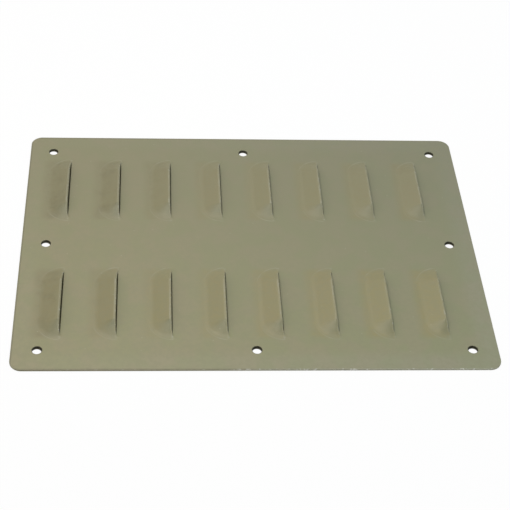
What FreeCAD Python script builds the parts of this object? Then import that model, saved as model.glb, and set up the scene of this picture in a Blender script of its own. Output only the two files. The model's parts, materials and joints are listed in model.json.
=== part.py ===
"""Louvred sheet metal panel: one flat sheet, lanced and press-formed into rows of louvres.

The sheet lies flat. Its back face is the plane z = 0, the origin is the centre of that
face, X runs along the length and Y along the width. Every louvre opens towards +X.
All sizes are in millimetres.
"""
import FreeCAD, Part
import math
import os

# Sheet
sheet_length = 300.0
sheet_width = 220.0
sheet_thickness = 1.2
corner_radius = 7.5

# Fixing holes: one in each corner and one halfway along each side
hole_diameter = 6.0
hole_inset = 16.0               # centre of a hole to the nearest edge

# Louvre, in section across its slit
louvre_depth = 15.0             # from the foot of the slope to the slit
louvre_rise = 4.1               # lip above the face of the sheet
foot_radius = 13.0              # hollow bend where the slope leaves the sheet, top face
foot_flats = 2                  # short flats that the foot bend is laid out in
crown_radius = 4.0              # rounded bend that ends level at the lip, under face

# Louvre, along its slit
louvre_length = 64.0            # over both round ends
slit_land = 3.0                 # uncut metal between an end of the slit and the end of the louvre
shear_gap = 0.1                 # width of the slit at the back face
lip_setback = 0.6               # how far the top of the lip is drawn back from the slit

# Pattern of louvres
louvre_pitch = 34.6             # slit to slit along a row
row_pitch = 108.0               # centre line to centre line of two rows
pattern_shift_x = 0.2           # middle of the slits from the middle of the sheet
end_margin = 12.0               # least plain sheet kept at the ends of a row
side_margin = 20.0              # least plain sheet kept beside the rows


def bend_scale():
    """Share of the two bend radii that a form of this depth and rise has room for."""
    room = (louvre_depth ** 2 + louvre_rise ** 2) / (2.0 * louvre_rise)
    wanted = foot_radius + crown_radius + sheet_thickness
    nearly_all = 0.98
    return min(1.0, (nearly_all * room - sheet_thickness) / (wanted - sheet_thickness))


def slope_angle(foot, crown):
    """Angle of the straight slope that is tangent to both bends."""
    reach = foot + crown + sheet_thickness
    drop = reach - louvre_rise
    return math.atan2(louvre_depth, drop) - math.acos(reach / math.hypot(louvre_depth, drop))


def section_point(centre, radius, angle):
    """Point on a bend, in the XZ plane; the angle is the slope of the bend there."""
    x, z = centre
    return FreeCAD.Vector(x + radius * math.sin(angle), 0.0, z - radius * math.cos(angle))


def skin_face_edges(lift):
    """Foot flats, slope and crown bend of one face of the formed sheet, from foot to lip.

    lift is 0 for the under face and the sheet thickness for the top face. Both faces turn
    about the same centres, so the formed metal keeps the thickness of the sheet.
    """
    scale = bend_scale()
    foot = foot_radius * scale
    crown = crown_radius * scale
    angle = slope_angle(foot, crown)
    foot_centre = (-louvre_depth, sheet_thickness + foot)
    crown_centre = (0.0, louvre_rise - crown)
    foot_bend = [section_point(foot_centre, foot + sheet_thickness - lift, angle * i / foot_flats)
                 for i in range(foot_flats + 1)]
    crown_bend = [section_point(crown_centre, -(crown + lift), a)
                  for a in (angle, angle / 2.0, 0.0)]
    slope = Part.makePolygon(foot_bend + crown_bend[:1])
    return slope.Edges + [Part.Arc(*crown_bend).toShape()]


def skin_section():
    """Section of the formed metal across a louvre, its lip on the Z axis."""
    under = skin_face_edges(0.0)
    top = skin_face_edges(sheet_thickness)
    foot_end = Part.makeLine(FreeCAD.Vector(-louvre_depth, 0.0, 0.0),
                             FreeCAD.Vector(-louvre_depth, 0.0, sheet_thickness))
    lip_end = Part.makeLine(FreeCAD.Vector(0.0, 0.0, louvre_rise),
                            FreeCAD.Vector(0.0, 0.0, louvre_rise + sheet_thickness))
    return Part.Face(Part.Wire(Part.sortEdges(under + [lip_end] + top + [foot_end])[0]))


def straight_length():
    """Length of a louvre between its two round ends."""
    return louvre_length - 2.0 * louvre_depth


def louvre_skin():
    """Formed metal of one louvre: a straight length of the section with both ends turned round."""
    section = skin_section()
    half = straight_length() / 2.0
    up = FreeCAD.Vector(0.0, 0.0, 1.0)
    near = section.translated(FreeCAD.Vector(0.0, -half, 0.0))
    far = section.translated(FreeCAD.Vector(0.0, half, 0.0))
    body = near.extrude(FreeCAD.Vector(0.0, 2.0 * half, 0.0))
    near_end = near.revolve(FreeCAD.Vector(0.0, -half, 0.0), up, 90.0)
    far_end = far.revolve(FreeCAD.Vector(0.0, half, 0.0), up, -90.0)
    return body.multiFuse([near_end, far_end])


def louvre_outline():
    """D-shaped outline of a louvre on the back face, its straight side on the slit."""
    half = straight_length() / 2.0
    end = half + louvre_depth
    turn = louvre_depth * math.sqrt(0.5)
    points = [FreeCAD.Vector(0.0, -end, 0.0), FreeCAD.Vector(-turn, -half - turn, 0.0),
              FreeCAD.Vector(-louvre_depth, -half, 0.0), FreeCAD.Vector(-louvre_depth, half, 0.0),
              FreeCAD.Vector(-turn, half + turn, 0.0), FreeCAD.Vector(0.0, end, 0.0)]
    edges = [Part.Arc(*points[:3]).toShape(),
             Part.makeLine(points[2], points[3]),
             Part.Arc(*points[3:]).toShape(),
             Part.makeLine(points[5], points[0])]
    return Part.Face(Part.Wire(edges))


def louvre_opening():
    """The flat metal that a louvre takes up, as a plug through the sheet."""
    return louvre_outline().extrude(FreeCAD.Vector(0.0, 0.0, sheet_thickness))


def slit_cutter():
    """Wedge that parts the lip from the sheet: it leans back with the lip as it rises."""
    half = louvre_length / 2.0 - slit_land
    top = louvre_rise + sheet_thickness
    lean = (lip_setback - shear_gap) / top
    below = -sheet_thickness
    above = top + sheet_thickness
    corners = [(0.0, below), (0.0, above), (-shear_gap - lean * above, above),
               (-shear_gap - lean * below, below), (0.0, below)]
    outline = Part.makePolygon([FreeCAD.Vector(x, -half, z) for x, z in corners])
    return Part.Face(outline).extrude(FreeCAD.Vector(0.0, 2.0 * half, 0.0))


def centred_row(count, pitch):
    """Positions of equally spaced things about a middle."""
    return [(i - (count - 1) / 2.0) * pitch for i in range(count)]


def copies_that_fit(room, size, pitch):
    """How many things of one size fit in a length at a given pitch."""
    return int((room - size) // pitch) + 1


def louvre_places():
    """Middle of the slit of every louvre."""
    per_row = copies_that_fit(sheet_length - 2.0 * end_margin, louvre_depth, louvre_pitch)
    rows = copies_that_fit(sheet_width - 2.0 * side_margin, louvre_length, row_pitch)
    return [FreeCAD.Vector(x + pattern_shift_x, y, 0.0)
            for y in centred_row(rows, row_pitch)
            for x in centred_row(per_row, louvre_pitch)]


def hole_places():
    """Centres of the fixing holes: corners and middles of the sides."""
    x = sheet_length / 2.0 - hole_inset
    y = sheet_width / 2.0 - hole_inset
    return [FreeCAD.Vector(i * x, j * y, 0.0)
            for i in (-1, 0, 1)
            for j in (-1, 0, 1)
            if (i, j) != (0, 0)]


def blank_sheet():
    """Flat blank with rounded corners."""
    corner = FreeCAD.Vector(-sheet_length / 2.0, -sheet_width / 2.0, 0.0)
    blank = Part.makeBox(sheet_length, sheet_width, sheet_thickness, corner)
    uprights = [edge for edge in blank.Edges
                if abs(edge.tangentAt(edge.FirstParameter).z) > 0.5]
    return blank.makeFillet(corner_radius, uprights)


def fixing_holes():
    """Drills for the fixing holes."""
    drill = Part.makeCylinder(hole_diameter / 2.0, sheet_thickness)
    return [drill.translated(place) for place in hole_places()]


def at_each_louvre(shape):
    """Copies of a shape, one at every louvre."""
    return [shape.translated(place) for place in louvre_places()]


def louvred_panel():
    """The whole panel: blank, pierced, lanced and formed."""
    pierced = blank_sheet().cut(at_each_louvre(louvre_opening()) + fixing_holes())
    formed = pierced.multiFuse(at_each_louvre(louvre_skin()))
    lanced = formed.cut(at_each_louvre(slit_cutter()))
    return lanced.removeSplitter()


os.makedirs("parts", exist_ok=True)
panel = louvred_panel()
panel.Solids[0].exportStep("parts/louvred_panel.step")
print("solids", len(panel.Solids), "valid", panel.isValid(), "volume", round(panel.Volume, 1))
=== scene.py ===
"""Louvred sheet metal panel: the painted sheet, the floor it lies on, the light and the camera.

The sheet is one piece. It stands for the solid of the same name, from the same sizes, and adds
what a solid leaves out: broken edges, smooth bends, the pull at the ends of each slit and the
paint. Lengths are in millimetres while the sheet is laid out, and its mesh is in metres.
"""
import json
import math

import bmesh
import bpy
from mathutils import Matrix, Vector
from mathutils.geometry import delaunay_2d_cdt


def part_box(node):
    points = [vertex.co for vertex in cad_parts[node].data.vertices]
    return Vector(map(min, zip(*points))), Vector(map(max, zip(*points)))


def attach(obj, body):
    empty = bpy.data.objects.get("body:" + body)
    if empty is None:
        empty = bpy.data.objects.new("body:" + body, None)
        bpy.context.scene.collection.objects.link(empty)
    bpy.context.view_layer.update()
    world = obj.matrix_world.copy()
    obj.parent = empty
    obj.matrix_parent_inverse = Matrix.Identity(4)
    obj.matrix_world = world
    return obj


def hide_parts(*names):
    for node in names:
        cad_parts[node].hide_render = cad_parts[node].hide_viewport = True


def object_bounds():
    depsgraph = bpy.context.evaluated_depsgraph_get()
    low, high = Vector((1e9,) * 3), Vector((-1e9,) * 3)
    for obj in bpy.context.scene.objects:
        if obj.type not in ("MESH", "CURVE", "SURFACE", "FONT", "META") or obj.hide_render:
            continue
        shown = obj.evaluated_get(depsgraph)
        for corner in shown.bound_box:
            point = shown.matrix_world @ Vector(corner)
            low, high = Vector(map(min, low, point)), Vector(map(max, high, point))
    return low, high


MM = 0.001

# Sheet
sheet_thickness = 1.2
corner_radius = 7.5
edge_break = 0.2                # rounding that deburring and paint leave on every cut edge
lip_roll = 0.6                  # rounding that shearing leaves on the top of a lip
hole_break = 0.35               # rounding at both mouths of a hole

# Louvre, in section across its slit
louvre_depth = 15.0
louvre_rise = 4.1
foot_radius = 13.0
crown_radius = 4.0

# Louvre, along its slit
louvre_length = 64.0
slit_land = 3.0
shear_gap = 0.1
lip_setback = 0.6
slit_taper = 3.0                # length over which the cut faces close up at each end
touching = 0.08                 # share of the gap left where the two cut faces touch
pull_reach = 3.0                # how far the flat metal is drawn up round an end of the slit

# Pattern of louvres
louvre_count = 8
louvre_pitch = 34.6
row_count = 2
row_pitch = 108.0
pattern_shift_x = 0.2

# Fineness of the mesh
section_step = 0.5              # from foot to lip
end_segments = 14               # round a quarter turn of a louvre's end
straight_step = 2.4             # along the straight part of a louvre
flat_step = 5.0                 # between the points of the plain sheet
fine_step = pull_reach / 4.0    # between the points round the ends of the slits
fine_count = 5                  # fine steps that those points reach
round_segments = 4              # over a broken edge
corner_segments = 16
hole_segments = 48
same_spot = 1e-6                # points nearer than this are one
weld_reach = 1e-4               # edges of neighbouring pieces of the mesh meet within this


# ---------------------------------------------------------------- the form of one louvre

def slope_angle():
    """Angle of the straight slope between the foot bend and the crown."""
    reach = foot_radius + crown_radius + sheet_thickness
    drop = reach - louvre_rise
    return math.atan2(louvre_depth, drop) - math.acos(reach / math.hypot(louvre_depth, drop))


def face_height(from_slit, lift):
    """Height of one face of a louvre; lift is 0 for the under face, the thickness for the top."""
    angle = slope_angle()
    from_foot = louvre_depth - from_slit
    foot = foot_radius + sheet_thickness - lift
    crown = crown_radius + lift
    if from_foot <= foot * math.sin(angle):
        return sheet_thickness + foot_radius - math.sqrt(foot ** 2 - from_foot ** 2)
    if from_slit <= crown * math.sin(angle):
        return louvre_rise - crown_radius + math.sqrt(crown ** 2 - from_slit ** 2)
    along = from_slit - crown * math.sin(angle)
    return louvre_rise - crown_radius + crown * math.cos(angle) - along * math.tan(angle)


def straight_half():
    """Half the length of the straight part of a louvre."""
    return louvre_length / 2.0 - louvre_depth


def slit_half():
    """Half the length of a slit."""
    return louvre_length / 2.0 - slit_land


def ease(share):
    """A smooth run from 0 to 1."""
    share = min(1.0, max(0.0, share))
    return share * share * (3.0 - 2.0 * share)


def openness(y):
    """1 along the slit; small where its cut faces touch; 0 at its ends."""
    to_end = slit_half() - abs(y)
    closed = min(1.0, max(0.0, to_end / section_step))
    return touching * closed + (1.0 - touching) * ease((to_end - slit_taper / 2.0) / slit_taper)


def stations():
    """Distances from the slit, foot first, at which a louvre's faces have points."""
    count = round(louvre_depth / section_step)
    return [louvre_depth - section_step * i for i in range(count + 1)]


def spokes():
    """Lines from the slit to the foot, near end first: where each starts and which way it runs."""
    half = straight_half()
    turn = [math.pi / 2.0 * i / end_segments for i in range(end_segments + 1)]
    count = round(2.0 * half / straight_step)
    near = [(-half, -math.cos(a), -math.sin(a)) for a in reversed(turn)]
    middle = [(-half + 2.0 * half * i / count, -1.0, 0.0) for i in range(1, count)]
    far = [(half, -math.cos(a), math.sin(a)) for a in turn]
    return near + middle + far


def lip_retreat(height):
    """How far the cut face of the lip stands back from the slit line at a height."""
    return shear_gap + (lip_setback - shear_gap) * height / (louvre_rise + sheet_thickness)


def rounding(lift):
    """Rounding of a lip's edge at its top face or its under face."""
    return lip_roll if lift else edge_break


def skin_point(spoke, from_slit, lift):
    """Point on the top or under face of a louvre."""
    start, run_x, run_y = spoke
    x = run_x * from_slit
    y = start + run_y * from_slit
    z = face_height(from_slit, lift)
    fade = (1.0 + x / louvre_depth) * min(1.0, (louvre_depth - from_slit) / slit_land)
    retreat = (lip_retreat(z) + rounding(lift)) * openness(y) * fade
    return (x - retreat, y, z)


def slit_line():
    """Distances along the slit line of the points that both sides of the slit share."""
    ends = [straight_half() + s for s in stations()]
    middle = [start for start, _, run_y in spokes() if run_y == 0.0][1:-1]
    return [-y for y in ends] + middle + list(reversed(ends))


def slit_points():
    """The part of the slit line that is cut through."""
    return [y for y in slit_line() if abs(y) < slit_half() + section_step / 2.0]


def lip_and_foot_highlight_share(spoke, from_slit):
    """How much painted highlight a point takes: along the round ends of the foot and on the lip.
    """
    turn = abs(spoke[2])
    beside_foot = louvre_depth - section_step
    if from_slit == beside_foot:
        return turn
    along_slit_line = turn > 0.999 and from_slit < beside_foot
    return 1.0 if from_slit <= section_step or along_slit_line else 0.0


def near_end_shade_share(spoke, from_slit):
    """How much painted shade a point takes: most by the lip at the near end, turned from the
    light.
    """
    return max(0.0, -spoke[2]) * (1.0 - (from_slit / louvre_depth) ** 2)


def drawn_up(x, y, lift):
    """Height of the flat metal beside a slit, which is drawn up a little round each end of it."""
    beside = max(0.0, 1.0 - max(0.0, x) / pull_reach) ** 2
    from_slit = min(louvre_depth, max(abs(y) - straight_half(), 0.0))
    at_end = louvre_depth - slit_land
    height = face_height(max(from_slit, at_end), lift) - lift
    along = ease((abs(y) - slit_half() + pull_reach) / pull_reach)
    return lift + height * along * beside


# ---------------------------------------------------------------- laying out the mesh

class Sheetwork:
    """A mesh in the making.

    Each point notes its share of edge wear and painted highlight, of painted highlight on the lip
    and the foot's round ends, and of painted shade on a hole wall and at a louvre's near end.
    """

    def __init__(self):
        self.mesh = bmesh.new()
        self.exposed = self.mesh.verts.layers.float.new("exposed")
        self.rubbed = self.mesh.verts.layers.float.new("rubbed")
        self.unpainted = self.mesh.verts.layers.float.new("unpainted")
        self.held = self.mesh.verts.layers.float.new("held")

    def point(self, place, exposed=0.0, rubbed=0.0, unpainted=0.0, held=0.0):
        """Adds a point."""
        vertex = self.mesh.verts.new(place)
        vertex[self.exposed] = exposed
        vertex[self.rubbed] = rubbed
        vertex[self.unpainted] = unpainted
        vertex[self.held] = held
        return vertex

    def edge_points(self, section, y, place):
        """Adds the points of the section of a cut edge along a slit."""
        return [self.point(Vector((x, y, z)) + place, exposed=wear_and_highlight)
                for (x, z), wear_and_highlight in zip(section, exposure(section))]

    def face(self, corners):
        """Adds a face, leaving out corners that fall on each other."""
        kept = [a for a, b in zip(corners, corners[1:] + corners[:1])
                if (a.co - b.co).length > same_spot]
        if len(kept) > 2:
            self.mesh.faces.new(kept)

    def web(self, lines, closed=False):
        """Faces between neighbouring lines of points; closed joins the last line to the first."""
        ring = lines + lines[:1] if closed else lines
        for one, other in zip(ring, ring[1:]):
            for i in range(len(one) - 1):
                self.face([one[i], one[i + 1], other[i + 1], other[i]])


def edge_section(face_x, top, bottom, side, sizes):
    """Section of a cut edge between two faces: rounded, upright, rounded."""
    steps = [math.pi / 2.0 * i / round_segments for i in range(round_segments + 1)]
    high, low = sizes
    upper = [(face_x[0] + side * high * math.sin(a), top - high + high * math.cos(a))
             for a in steps]
    lower = [(face_x[1] + side * low * math.cos(a), bottom + low - low * math.sin(a))
             for a in steps]
    return upper + lower


def exposure(section):
    """How much edge wear and painted highlight the points of an edge section take: most on
    roundings.
    """
    middle = round_segments / 2.0
    last = len(section) - 1
    return [max(0.0, 1.0 - abs(min(i, last - i) - middle) / middle) for i in range(len(section))]


def form_louvre(work, place):
    """One louvre: its top face, its under face and the cut face of its lip."""
    for lift in (0.0, sheet_thickness):
        grid = [[work.point(Vector(skin_point(spoke, s, lift)) + place, rubbed=lip_and_foot_highlight_share(spoke, s),
                            held=near_end_shade_share(spoke, s))
                 for s in stations()] for spoke in spokes()]
        work.web(grid)
    lip = []
    for y in slit_points():
        from_slit = max(0.0, abs(y) - straight_half())
        top = face_height(from_slit, sheet_thickness)
        bottom = face_height(from_slit, 0.0)
        sizes = [rounding(lift) * openness(y) for lift in (sheet_thickness, 0.0)]
        inner = [-lip_retreat(z) * openness(y) - size for z, size in zip((top, bottom), sizes)]
        lip.append(work.edge_points(edge_section(inner, top, bottom, 1.0, sizes), y, place))
    work.web(lip)


def cut_slit_edge(work, place):
    """The cut face of the flat metal along one slit."""
    edge = []
    for y in slit_points():
        size = edge_break * openness(y)
        top = drawn_up(size, y, sheet_thickness)
        bottom = drawn_up(size, y, 0.0)
        section = edge_section([size, size], top, bottom, -1.0, [size, size])
        edge.append(work.edge_points(section, y, place))
    work.web(edge)


def louvre_outline(place):
    """Outline of one louvre in the flat sheet, round its foot and back along its slit."""
    foot = [(run_x * louvre_depth, start + run_y * louvre_depth)
            for start, run_x, run_y in spokes()]
    slit = [(edge_break * openness(y), y) for y in reversed(slit_line()[1:-1])]
    return [(x + place.x, y + place.y) for x, y in foot + slit]


def rim_line(size, inset):
    """Outline of the sheet, drawn in by an inset, with the way outward at each point."""
    line = []
    for corner, (sx, sy) in enumerate(((1, 1), (-1, 1), (-1, -1), (1, -1))):
        centre = Vector((sx * (size.x / 2.0 - corner_radius), sy * (size.y / 2.0 - corner_radius)))
        for i in range(corner_segments + 1):
            angle = math.pi / 2.0 * (corner + i / corner_segments)
            out = Vector((math.cos(angle), math.sin(angle)))
            line.append((centre + out * (corner_radius - inset), out))
    full = []
    for (a, out), (b, _) in zip(line, line[1:] + line[:1]):
        pieces = max(1, round((b - a).length / flat_step))
        full += [(a.lerp(b, i / pieces), out) for i in range(pieces)]
    return full


def hole_line(centre, radius):
    """Outline of a hole, with the way into it at each point."""
    turns = [2.0 * math.pi * i / hole_segments for i in range(hole_segments)]
    ways = [Vector((math.cos(a), math.sin(a))) for a in turns]
    return [(centre + way * radius, -way) for way in ways]


def cut_edge(work, line, rounded, unpainted):
    """The cut face of the sheet that goes round a closed line of its face.

    The first point of its section lies on the top face, so it never takes a hole wall's painted
    shade.
    """
    section = edge_section([0.0, 0.0], sheet_thickness, 0.0, 1.0, [rounded, rounded])
    ring = [[work.point((spot.x + out.x * x, spot.y + out.y * x, z),
                        exposed=wear_and_highlight * (1.0 - unpainted), unpainted=unpainted if i else 0.0)
             for i, ((x, z), wear_and_highlight) in enumerate(zip(section, exposure(section)))]
            for spot, out in line]
    work.web(ring, closed=True)


def within(spot, loop):
    """True where a spot lies inside a closed loop."""
    x, y = spot
    inside = False
    for (ax, ay), (bx, by) in zip(loop, loop[1:] + loop[:1]):
        if (ay > y) != (by > y) and x < ax + (bx - ax) * (y - ay) / (by - ay):
            inside = not inside
    return inside


class Outline:
    """A closed loop with its extent, so that far spots are passed over quickly."""

    def __init__(self, loop):
        self.loop = loop
        self.low = (min(x for x, _ in loop), min(y for _, y in loop))
        self.high = (max(x for x, _ in loop), max(y for _, y in loop))

    def holds(self, spot):
        """True where a spot lies inside."""
        return self.near(spot, 0.0) and within(spot, self.loop)

    def near(self, spot, margin):
        """True where a spot lies within a margin of the extent."""
        return all(low - margin <= at <= high + margin
                   for low, at, high in zip(self.low, spot, self.high))


def steps_between(low, high, step):
    """Evenly spaced values inside a range, near to a step apart."""
    count = round((high - low) / step)
    return [low + (high - low) * i / count for i in range(1, count)]


def by_slit_end(spot, place):
    """True round an end of a slit, where the fine points stand in for the wide ones."""
    clear_beside, clear_along = 1.0, 3.0
    beside = abs(spot[0] - place.x - pull_reach)
    along = abs(abs(spot[1] - place.y) - slit_half())
    return beside < pull_reach + clear_beside and along < pull_reach + clear_along


def plain_spots(size, places):
    """Points spread over the sheet, closer together round the ends of the slits."""
    wide = [(x, y) for x in steps_between(-size.x / 2.0, size.x / 2.0, flat_step)
            for y in steps_between(-size.y / 2.0, size.y / 2.0, flat_step)]
    fine = [(p.x + i * fine_step, p.y + end * slit_half() + j * fine_step)
            for p in places for end in (-1, 1)
            for i in range(1, fine_count + 1) for j in range(-fine_count, fine_count + 1)]
    return [s for s in wide if not any(by_slit_end(s, p) for p in places)] + fine


def height_at(spot, places, lift):
    """Height of a face of the flat sheet."""
    slack = 1e-3
    for p in places:
        x, y = spot[0] - p.x, spot[1] - p.y
        if -slack <= x < pull_reach and abs(y) < louvre_length / 2.0:
            return drawn_up(x, y, lift)
    return lift


def flat_faces(work, size, places, holes):
    """Top and back face of the flat metal, round the louvres and the holes."""
    clear = 0.6                     # least distance from a spread point to a cut
    sliver = 1e-3                   # twice the area under which a triangle is left out
    rim = [tuple(spot) for spot, _ in rim_line(size, edge_break)]
    cuts = [Outline(louvre_outline(p)) for p in places]
    cuts += [Outline([tuple(spot) for spot, _ in loop]) for loop in holes]
    sheet = Outline(rim)
    spots, rings = [], []
    for loop in [rim] + [cut.loop for cut in cuts]:
        first = len(spots)
        spots += loop
        rings.append([first + i for i in range(len(loop))])
    for spot in plain_spots(size, places):
        if sheet.holds(spot) and not any(cut.near(spot, clear) and (cut.holds(spot) or any(
                math.dist(spot, end) < clear for end in cut.loop)) for cut in cuts):
            spots.append(spot)
    sides = [(a, b) for ring in rings for a, b in zip(ring, ring[1:] + ring[:1])]
    found, _, triangles, *_ = delaunay_2d_cdt([Vector(s) for s in spots], sides, [], 0,
                                              same_spot)
    kept = []
    for triangle in triangles:
        a, b, c = [found[i] for i in triangle]
        middle = tuple((a + b + c) / 3.0)
        if abs((b - a).cross(c - a)) > sliver and sheet.holds(middle) and not any(
                cut.holds(middle) for cut in cuts):
            kept.append(triangle)
    for lift in (0.0, sheet_thickness):
        points = [work.point((*spot, height_at(spot, places, lift))) for spot in found]
        for triangle in kept:
            work.face([points[i] for i in triangle])


def centred_row(count, pitch):
    """Positions of equally spaced things about a middle."""
    return [(i - (count - 1) / 2.0) * pitch for i in range(count)]


def louvre_places():
    """Middle of the slit of every louvre."""
    return [Vector((x + pattern_shift_x, y, 0.0))
            for y in centred_row(row_count, row_pitch)
            for x in centred_row(louvre_count, louvre_pitch)]


def hole_layout(record):
    """Half the spacing of the corner holes both ways, and their radius, from the record."""
    corners = {m["name"]: m["dims"] for m in record["mounts"]}["corner_holes"]
    return corners["spacing_x_mm"] / 2.0, corners["spacing_y_mm"] / 2.0, corners["hole_r_mm"]


def hole_loops(record):
    """Outlines of the fixing holes at the faces of the sheet: all round it, none in its middle."""
    x, y, radius = hole_layout(record)
    return [hole_line(Vector((i * x, j * y)), radius + hole_break)
            for i in (-1, 0, 1) for j in (-1, 0, 1) if (i, j) != (0, 0)]


def painted_panel(record):
    """The whole sheet as one closed mesh."""
    sharp = math.radians(50.0)      # least turn that is shaded as an edge
    low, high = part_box("louvred_panel")
    size = (high - low) / MM
    places = louvre_places()
    holes = hole_loops(record)
    work = Sheetwork()
    flat_faces(work, size, places, holes)
    cut_edge(work, rim_line(size, edge_break), edge_break, 0.0)
    for loop in holes:
        # the walls of the holes take painted shade
        cut_edge(work, loop, hole_break, 1.0)
    for place in places:
        form_louvre(work, place)
        cut_slit_edge(work, place)
    bmesh.ops.remove_doubles(work.mesh, verts=work.mesh.verts, dist=weld_reach)
    loose = [v for v in work.mesh.verts if not v.link_faces]
    bmesh.ops.delete(work.mesh, geom=loose, context="VERTS")
    bmesh.ops.recalc_face_normals(work.mesh, faces=work.mesh.faces)
    bmesh.ops.scale(work.mesh, vec=(MM, MM, MM), verts=work.mesh.verts)
    open_edges = sum(not edge.is_manifold for edge in work.mesh.edges)
    mesh = bpy.data.meshes.new("painted_panel")
    work.mesh.to_mesh(mesh)
    work.mesh.free()
    mesh.shade_smooth()
    mesh.set_sharp_from_angle(angle=sharp)
    print("painted_panel: faces", len(mesh.polygons), "open edges", open_edges)
    panel = bpy.data.objects.new("painted_panel", mesh)
    bpy.context.scene.collection.objects.link(panel)
    weighted = panel.modifiers.new("even_shading", "WEIGHTED_NORMAL")
    weighted.keep_sharp = True
    return panel


# ---------------------------------------------------------------- finishes

def linear(red, green, blue):
    """Linear colour of a paint given as it reads on a screen, 0 to 255."""
    def channel(value):
        share = value / 255.0
        return share / 12.92 if share <= 0.04045 else ((share + 0.055) / 1.055) ** 2.4
    return (channel(red), channel(green), channel(blue), 1.0)


class Signal:
    """What comes out of a node's socket; arithmetic on it adds Math nodes."""

    def __init__(self, finish, socket):
        self.finish = finish
        self.socket = socket

    def with_value(self, operation, first, second):
        return self.finish.node("ShaderNodeMath", {"operation": operation}, {0: first, 1: second})

    def __add__(self, other):
        return self.with_value("ADD", self, other)

    def __radd__(self, other):
        return self.with_value("ADD", other, self)

    def __sub__(self, other):
        return self.with_value("SUBTRACT", self, other)

    def __rsub__(self, other):
        return self.with_value("SUBTRACT", other, self)

    def __mul__(self, other):
        return self.with_value("MULTIPLY", self, other)

    def __rmul__(self, other):
        return self.with_value("MULTIPLY", other, self)

    def __abs__(self):
        return self.finish.node("ShaderNodeMath", {"operation": "ABSOLUTE"}, {0: self})


class Finish:
    """A material and the nodes that make it."""

    def __init__(self, name):
        self.material = bpy.data.materials.new(name)
        self.material.use_nodes = True
        self.tree = self.material.node_tree
        self.tree.nodes.clear()

    def node(self, kind, settings, sockets, output=0):
        """Adds a node with its settings, fills its sockets and gives one of its outputs."""
        made = self.tree.nodes.new(kind)
        for name, value in settings.items():
            setattr(made, name, value)
        for key, value in sockets.items():
            if isinstance(value, Signal):
                self.tree.links.new(value.socket, made.inputs[key])
            else:
                made.inputs[key].default_value = value
        return Signal(self, made.outputs[output]) if made.outputs else None

    def cloud(self, place, size, detail=2.0):
        """Soft noise with features of about one size, in millimetres."""
        return self.node("ShaderNodeTexNoise", {}, {"Vector": place, "Scale": 1.0 / (size * MM),
                                                    "Detail": detail})

    def between(self, signal, low, high):
        """0 below a level, 1 above another and a run between them."""
        return self.node("ShaderNodeMapRange", {"interpolation_type": "SMOOTHSTEP"},
                         {"Value": signal, "From Min": low, "From Max": high})

    def blend(self, share, first, second):
        """One colour turning into another."""
        return self.node("ShaderNodeMix", {"data_type": "RGBA"},
                         {"Factor": share, 6: first, 7: second}, 2)

    def greater(self, first, second):
        """The greater of two signals at each point."""
        return self.node("ShaderNodeMath", {"operation": "MAXIMUM"}, {0: first, 1: second})

    def vectors(self, operation, first, second=(0.0, 0.0, 0.0), output=0):
        """Arithmetic on places."""
        return self.node("ShaderNodeVectorMath", {"operation": operation},
                         {0: first, 1: second}, output)


def margin_mask(finish, ways, size, width, run):
    """1 in a margin round the edge of the sheet and beyond, 0 inside it."""
    shares = []
    for way, side in zip(ways, (size.x, size.y)):
        inner = side / 2.0 - width * MM
        shares.append(finish.between(abs(way), inner, inner + run * MM))
    return finish.greater(*shares)


def body_mask(finish, across, along):
    """1 over the body of every louvre, from a soft edge round its foot to a sharp one at its slit.

    Across the sheet the pattern repeats at the louvre pitch: a place is measured from the slit
    that it leads up to, or just past one from that one. What lies past the last slit is left out.
    """
    past_slit = 0.1                 # share of the pitch that is measured from the slit before it
    foot_outside, foot_inside = 6.0, 2.0
    end_inside, end_outside = 5.0, 0.5
    sharp_run = 0.3
    first_slit = pattern_shift_x + louvre_pitch / 2.0
    last_slit = pattern_shift_x + (louvre_count - 1) / 2.0 * louvre_pitch
    half = louvre_length / 2.0
    past = finish.node("ShaderNodeMath", {"operation": "WRAP"}, {
        0: across - first_slit * MM, 1: past_slit * louvre_pitch * MM,
        2: (past_slit - 1.0) * louvre_pitch * MM})
    from_middle = abs(abs(along) - row_pitch / 2.0 * MM)
    foot = finish.between(past, -(louvre_depth + foot_outside) * MM,
                          -(louvre_depth - foot_inside) * MM)
    beyond_slit = finish.between(past, -sharp_run * MM, 0.0)
    ends = finish.between(from_middle, (half - end_inside) * MM, (half + end_outside) * MM)
    outside = finish.between(across, last_slit * MM, (last_slit + sharp_run) * MM)
    return foot * (1.0 - beyond_slit) * (1.0 - ends) * (1.0 - outside)


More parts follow.
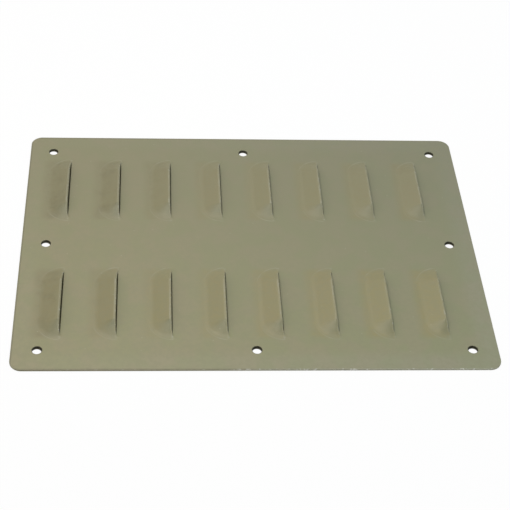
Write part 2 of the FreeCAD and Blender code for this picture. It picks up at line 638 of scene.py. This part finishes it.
def olive_grey_paint(size):
    """Semi-matt powder paint with a faint orange peel and worn edges, and painted light and shade,
    browner on the louvres.
    """
    finish = Finish("olive_grey_paint")
    place = finish.node("ShaderNodeTexCoord", {}, {}, "Object")
    across, along = [finish.node("ShaderNodeSeparateXYZ", {}, {0: place}, axis) for axis in "XY"]
    exposed, rubbed, unpainted, held = [
        finish.node("ShaderNodeAttribute", {"attribute_name": name}, {}, "Fac")
        for name in ("exposed", "rubbed", "unpainted", "held")]

    # Clouds and specks
    tone = finish.between(finish.cloud(place, 18.0), 0.38, 0.62)
    mottle = finish.between(finish.cloud(place, 3.0, 4.0), 0.34, 0.66)
    # patches that break up the painted shade and highlights
    patchiness = finish.between(finish.cloud(place, 8.0, 3.0), 0.42, 0.70)
    chipped = finish.between(finish.cloud(place, 1.8, 3.0), 0.57, 0.63)
    cells = finish.node("ShaderNodeTexVoronoi", {}, {"Vector": place, "Scale": 1.0 / (9.0 * MM)})
    specks = 1.0 - finish.between(cells, 0.03, 0.05)

    # Regions of the sheet: towards the right, towards the far side, round the edge, the louvres
    # painted light: the cool tint grows towards the right
    cool = finish.between(across, -170.0 * MM, 170.0 * MM)
    far = finish.between(along, -130.0 * MM, 130.0 * MM)
    margin = margin_mask(finish, (across, along), size, 18.0, 12.0)
    rim = margin_mask(finish, (across, along), size, 1.4, 0.6)
    formed = body_mask(finish, across, along)
    # painted shade on the louvre bodies, strongest towards the left
    left_body_shade = finish.between(along * 0.35 - across, 20.0 * MM, 140.0 * MM)
    near_side = -size.y / 2.0
    from_near = finish.between(along, near_side + 0.4 * MM, near_side + 0.9 * MM)
    # near edge on the right: chipped paint, and a painted highlight where the edge meets the light
    near_edge_chips_and_highlight = (1.0 - from_near) * finish.between(across, -30.0 * MM, 10.0 * MM)

    # Partly painted light: each tone turns from warm on the left to cooler on the right, as the
    # lamps tint it
    outer = finish.blend(cool, linear(147, 141, 106), linear(145, 145, 121))
    inner = finish.blend(cool, linear(145, 138, 101), linear(140, 140, 108))
    hue = finish.blend(tone, linear(143, 146, 112), linear(154, 145, 121))
    body = finish.blend(cool, linear(147, 139, 104), linear(149, 138, 93))
    coats = (
        (0.35, hue),
        # Painted light: browner louvre bodies, the warm tint of the light on their slopes
        (formed * 0.7, body),
        # Painted shade on the louvre bodies towards the left
        (formed * left_body_shade * (0.5 + patchiness * 0.4), linear(127, 120, 89)),
        # Painted shade by the lips at the louvres' near ends
        (held * (0.6 + patchiness * 0.4), linear(112, 114, 84)),
        # Painted shade, darker towards the far side where the light falls off
        (far * (0.35 + cool * 0.25), linear(124, 122, 104)),
        (mottle * 0.35, linear(138, 136, 108)),
        (specks * 0.3, linear(180, 179, 160)),
        # Painted highlight along the lips and the round ends of the feet
        (rubbed * (0.2 + patchiness * 0.4), linear(166, 164, 146)),
        # Painted shade: a dark line along the rounded edge, mostly on the left
        (rim * (1.0 - cool) * 0.5, linear(112, 108, 86)),
        # Edges lighter: partly wear where the paint is thin, partly painted highlight
        (exposed * 0.2, linear(160, 160, 147)),
        (exposed * chipped * 0.6, linear(200, 199, 188)),
        # Near edge on the right: chips, and a painted highlight
        (near_edge_chips_and_highlight * (0.15 + chipped * 0.6), linear(208, 207, 198)),
        # Painted shade on the walls of the fixing holes
        (unpainted, linear(76, 73, 58)),
    )
    colour = finish.blend(margin, inner, outer)
    for share, coat in coats:
        colour = finish.blend(share, colour, coat)

    peel = finish.cloud(place, 0.9, 2.0)
    wave = finish.cloud(place, 14.0, 1.0)
    relief = finish.node("ShaderNodeBump", {}, {"Height": peel + wave * 3.0, "Strength": 0.35,
                                                "Distance": 0.06 * MM})
    shader = finish.node("ShaderNodeBsdfPrincipled", {}, {
        "Base Color": colour, "Roughness": 0.4 + mottle * 0.08, "Normal": relief,
        "Specular IOR Level": 0.4})
    finish.node("ShaderNodeOutputMaterial", {}, {"Surface": shader})
    return finish.material


def off_sheet(finish, place, size):
    """1 beyond the outline of the sheet, 0 under it; it changes just inside the outline."""
    tuck = 0.5 * MM
    edge = corner_radius * MM - tuck
    reach = (size.x / 2.0 - corner_radius * MM, size.y / 2.0 - corner_radius * MM, 1.0)
    past_corner = finish.vectors("SUBTRACT", finish.vectors("ABSOLUTE", place), reach)
    distance = finish.vectors("LENGTH", finish.vectors("MAXIMUM", past_corner), output="Value")
    return finish.between(distance, edge, edge + tuck / 2.0)


def light_through_holes(finish, place, record):
    """1 in the painted patch of light on the floor under each fixing hole, 0 elsewhere."""
    x, y, radius = [length * MM for length in hole_layout(record)]
    slant = (-0.2 * MM, -1.2 * MM, 0.0)         # the light comes from the far side
    soft_inside, soft_outside = 0.3 * MM, 0.2 * MM
    shifted = finish.vectors("ADD", place, (x / 2.0, y / 2.0, 0.5))
    nearest = finish.vectors("SNAP", shifted, (x, y, 1.0))
    from_hole = finish.vectors("SUBTRACT", place, nearest)
    distance = finish.vectors("DISTANCE", from_hole, slant, "Value")
    return 1.0 - finish.between(distance, radius - soft_inside, radius + soft_outside)


def white_floor(size, record):
    """Matt white board, painted dark under the sheet as shade and light under the holes; elsewhere
    the eye also sees it as plain white.
    """
    plain_white = 0.93              # the rest is the board as it is lit, with its soft shadow
    white = (1.0, 1.0, 1.0, 1.0)
    finish = Finish("white_floor")
    place = finish.node("ShaderNodeTexCoord", {}, {}, "Object")
    lit = finish.greater(off_sheet(finish, place, size),
                         light_through_holes(finish, place, record))
    eye, gloss, through = [finish.node("ShaderNodeLightPath", {}, {}, f"Is {ray} Ray")
                           for ray in ("Camera", "Glossy", "Transmission")]
    seen = finish.greater(finish.greater(eye, gloss), through)
    # Painted shade: the board is coloured dark under the sheet, and light beyond it and under the
    # holes
    shade = finish.blend(lit, linear(78, 76, 62), linear(248, 248, 248))
    board = finish.node("ShaderNodeBsdfPrincipled", {}, {
        "Base Color": shade, "Roughness": 1.0, "Specular IOR Level": 0.0})
    bright = finish.node("ShaderNodeEmission", {}, {"Color": white, "Strength": 1.0})
    shown = finish.node("ShaderNodeMixShader", {}, {
        0: seen * lit * plain_white, 1: board, 2: bright})
    finish.node("ShaderNodeOutputMaterial", {}, {"Surface": shown})
    return finish.material


# ---------------------------------------------------------------- floor, light and camera

def lay_floor(size, record):
    """A wide board just under the sheet."""
    reach = 6.0
    clear = 0.05 * MM
    work = bmesh.new()
    work.faces.new([work.verts.new((i * reach, j * reach, 0.0))
                    for i, j in ((-1, -1), (1, -1), (1, 1), (-1, 1))])
    mesh = bpy.data.meshes.new("floor")
    work.to_mesh(mesh)
    work.free()
    mesh.materials.append(white_floor(size, record))
    floor = bpy.data.objects.new("floor", mesh)
    floor.location.z = -clear
    bpy.context.scene.collection.objects.link(floor)


def hang_lamp(name, place, width, power, colour):
    """A soft lamp that looks at the middle of the sheet."""
    light = bpy.data.lights.new(name, "AREA")
    light.shape = "DISK"
    light.size = width
    light.energy = power
    light.color = colour
    lamp = bpy.data.objects.new(name, light)
    lamp.location = place
    lamp.rotation_mode = "QUATERNION"
    lamp.rotation_quaternion = (-Vector(place)).to_track_quat("-Z", "Y")
    bpy.context.scene.collection.objects.link(lamp)


def light_scene():
    """Even light from all round, and soft lamps above, on the left, on the right and behind."""
    even_light = 0.42
    world = bpy.data.worlds.new("studio")
    world.use_nodes = True
    background = world.node_tree.nodes["Background"]
    background.inputs["Color"].default_value = (1.0, 1.0, 1.0, 1.0)
    background.inputs["Strength"].default_value = even_light
    bpy.context.scene.world = world
    warm, amber = (1.0, 0.96, 0.88), (1.0, 0.85, 0.6)
    cool, white = (0.52, 0.77, 1.0), (1.0, 1.0, 1.0)
    hang_lamp("main_lamp", (-0.15, 0.12, 0.75), 0.5, 2.85, warm)
    hang_lamp("left_lamp", (-1.2, 0.1, 0.7), 0.8, 1.4, amber)
    hang_lamp("right_lamp", (0.7, 0.1, 0.8), 0.8, 2.45, cool)
    hang_lamp("back_lamp", (-0.2, 0.75, 1.0), 0.6, 0.9, white)


def stand_camera():
    """The camera stands off the near side, a little to the left, and looks down on the sheet."""
    pitch = math.radians(43.832)
    yaw = math.radians(5.135)
    roll = math.radians(3.735)
    look = Vector((math.sin(yaw) * math.cos(pitch), math.cos(yaw) * math.cos(pitch),
                   -math.sin(pitch)))
    level = Vector((math.cos(yaw), -math.sin(yaw), 0.0))
    upright = level.cross(look)
    right = level * math.cos(roll) + upright * math.sin(roll)
    up = upright * math.cos(roll) - level * math.sin(roll)
    lens = bpy.data.cameras.new("camera")
    lens.sensor_width = 36.0
    lens.lens = 95.21
    lens.shift_x = 0.0308
    lens.shift_y = -0.0014
    camera = bpy.data.objects.new("camera", lens)
    turn = Matrix((right, up, -look)).transposed().to_4x4()
    camera.matrix_world = Matrix.Translation((-0.0645, -0.6466, 0.6151)) @ turn
    bpy.context.scene.collection.objects.link(camera)
    bpy.context.scene.camera = camera


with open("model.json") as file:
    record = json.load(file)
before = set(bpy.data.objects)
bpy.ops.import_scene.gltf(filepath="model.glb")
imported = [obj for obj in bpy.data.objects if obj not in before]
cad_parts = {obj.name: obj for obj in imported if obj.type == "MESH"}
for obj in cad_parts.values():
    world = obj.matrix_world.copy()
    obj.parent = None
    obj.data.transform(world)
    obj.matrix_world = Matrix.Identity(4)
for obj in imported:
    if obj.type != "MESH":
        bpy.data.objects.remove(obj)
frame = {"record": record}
cad_low, cad_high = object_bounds()
panel = painted_panel(frame["record"])
panel.data.materials.append(olive_grey_paint(cad_high - cad_low))
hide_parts("louvred_panel")
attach(panel, "root")
lay_floor(cad_high - cad_low, frame["record"])
light_scene()
stand_camera()
bpy.context.scene.view_settings.view_transform = "Standard"
